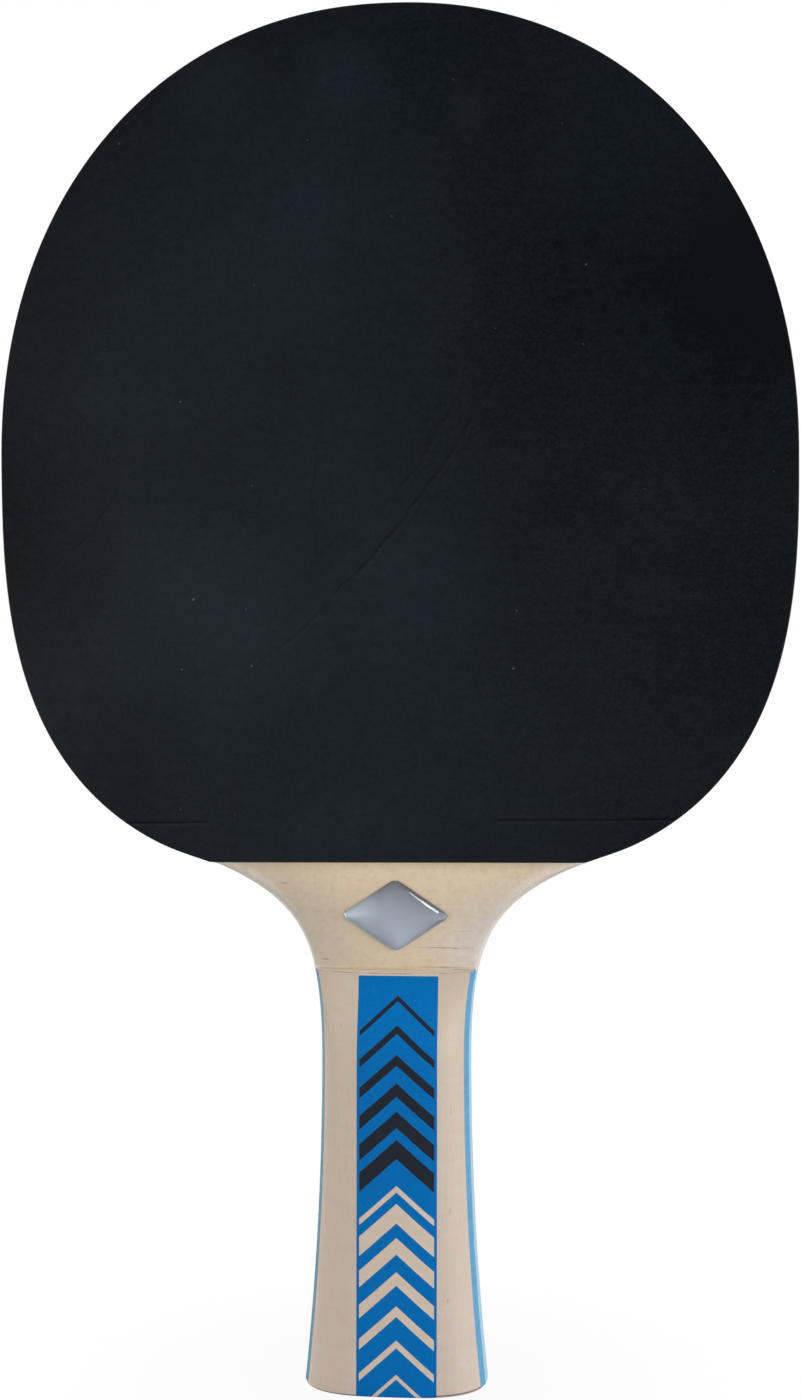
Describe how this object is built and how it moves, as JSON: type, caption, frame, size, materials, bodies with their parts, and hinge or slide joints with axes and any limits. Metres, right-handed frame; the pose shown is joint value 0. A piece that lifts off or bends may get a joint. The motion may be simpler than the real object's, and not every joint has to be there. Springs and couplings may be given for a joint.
{
  "type": "table tennis paddle",
  "caption": "Table tennis paddle with a rounded plywood blade, a rubber-and-sponge covering on each face, a flared layered wooden handle with printed inlays and a domed badge on the neck.",
  "frame": {"origin": "centre of the flat butt end of the handle, on the middle plane of the blade", "axes": "+Z along the paddle from butt to head, +X across the head to the right as the black face is seen, -Y out of the black front rubber and +Y out of the red back rubber"},
  "size_m": [0.15, 0.024, 0.2601],
  "materials": {
    "core_wood": "light core wood, bare edges",
    "inner_veneer": "warm cross-grain veneer, bare edges",
    "outer_veneer": "pale veneer with fine straight grain, thin satin lacquer",
    "sponge_foam": "fine closed-cell sponge, matt",
    "black_rubber": "very dark blue-black grippy rubber, satin",
    "red_rubber": "bright red grippy rubber, satin",
    "dyed_veneer": "blue dyed veneer, satin",
    "scale_wood": "pale wood with fine upright grain, satin lacquer",
    "printed_veneer": "pale veneer printed in blue and near-black, satin",
    "badge_foil": "satin silver foil",
    "badge_resin": "clear glossy domed resin"
  },
  "bodies": {
    "root": {"blade_core": "core_wood", "front_inner_ply": "inner_veneer", "back_inner_ply": "inner_veneer", "front_outer_ply": "outer_veneer", "back_outer_ply": "outer_veneer", "front_sponge": "sponge_foam", "back_sponge": "sponge_foam", "front_topsheet": "black_rubber", "back_topsheet": "red_rubber", "front_handle_liner": "dyed_veneer", "back_handle_liner": "dyed_veneer", "front_handle_scale": "scale_wood", "back_handle_scale": "scale_wood", "front_handle_inlay": "printed_veneer", "back_handle_inlay": "printed_veneer", "badge_plate": "badge_foil", "badge_dome": "badge_resin"}
  },
  "joints": []
}
